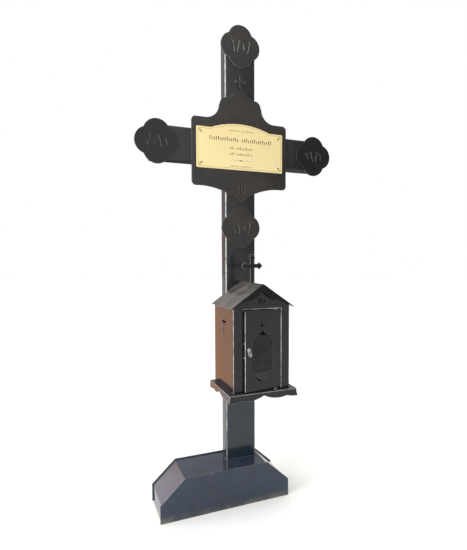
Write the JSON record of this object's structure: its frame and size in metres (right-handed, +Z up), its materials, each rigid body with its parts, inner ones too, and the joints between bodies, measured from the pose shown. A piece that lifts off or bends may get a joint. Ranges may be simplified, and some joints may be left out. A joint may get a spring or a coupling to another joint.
{
  "type": "metal grave cross",
  "caption": "Black painted steel grave cross on a folded base, with lobed medallions, a shaped name board, a gold plaque and a gabled candle lantern with a hinged door.",
  "frame": {"origin": "on the ground, at the middle of the whole object's width and depth", "axes": "+X to the viewer's right, +Y away from the viewer towards the back of the cross, +Z up"},
  "size_m": [0.648, 0.2392, 1.469],
  "materials": {
    "black_paint": "gloss",
    "gold_plaque": "satin",
    "pane": "clear",
    "bright_zinc": "bright zinc plated"
  },
  "bodies": {
    "cross": {"base_front_plate": "black_paint", "base_back_plate": "black_paint", "base_cover": "black_paint", "upright": "black_paint", "upright_cap": "black_paint", "arm_left": "black_paint", "arm_right": "black_paint", "arm_cap_left": "black_paint", "arm_cap_right": "black_paint", "name_board": "black_paint", "small_cross": "black_paint", "medallion_top": "black_paint", "medallion_left": "black_paint", "medallion_right": "black_paint", "medallion_lower": "black_paint", "lantern_shell": "black_paint", "lantern_front": "black_paint", "lantern_roof": "black_paint", "lantern_barge_board": "black_paint", "lantern_shelf": "black_paint", "lantern_apron_front": "black_paint", "lantern_apron_left": "black_paint", "lantern_apron_right": "black_paint", "roof_cross": "black_paint", "name_plaque": "gold_plaque", "door_pin_top": "bright_zinc", "door_pin_bottom": "bright_zinc", "door_washer": "bright_zinc"},
    "door": {"lantern_door": "black_paint", "door_glass": "pane", "latch_rivet": "bright_zinc"},
    "latch": {"latch_tab": "bright_zinc"}
  },
  "joints": [
    {"name": "door_hinge", "type": "hinge", "parent": "cross", "child": "door", "pos_m": [0.046, -0.09586, 0.5], "axis": [0, 0, 1], "range_deg": [-6, 99]},
    {"name": "latch_turn", "type": "hinge", "parent": "door", "child": "latch", "pos_m": [-0.04437, -0.11139, 0.505], "axis": [-0.1045, 0.9945, 0], "range_deg": [-73, 107]}
  ]
}
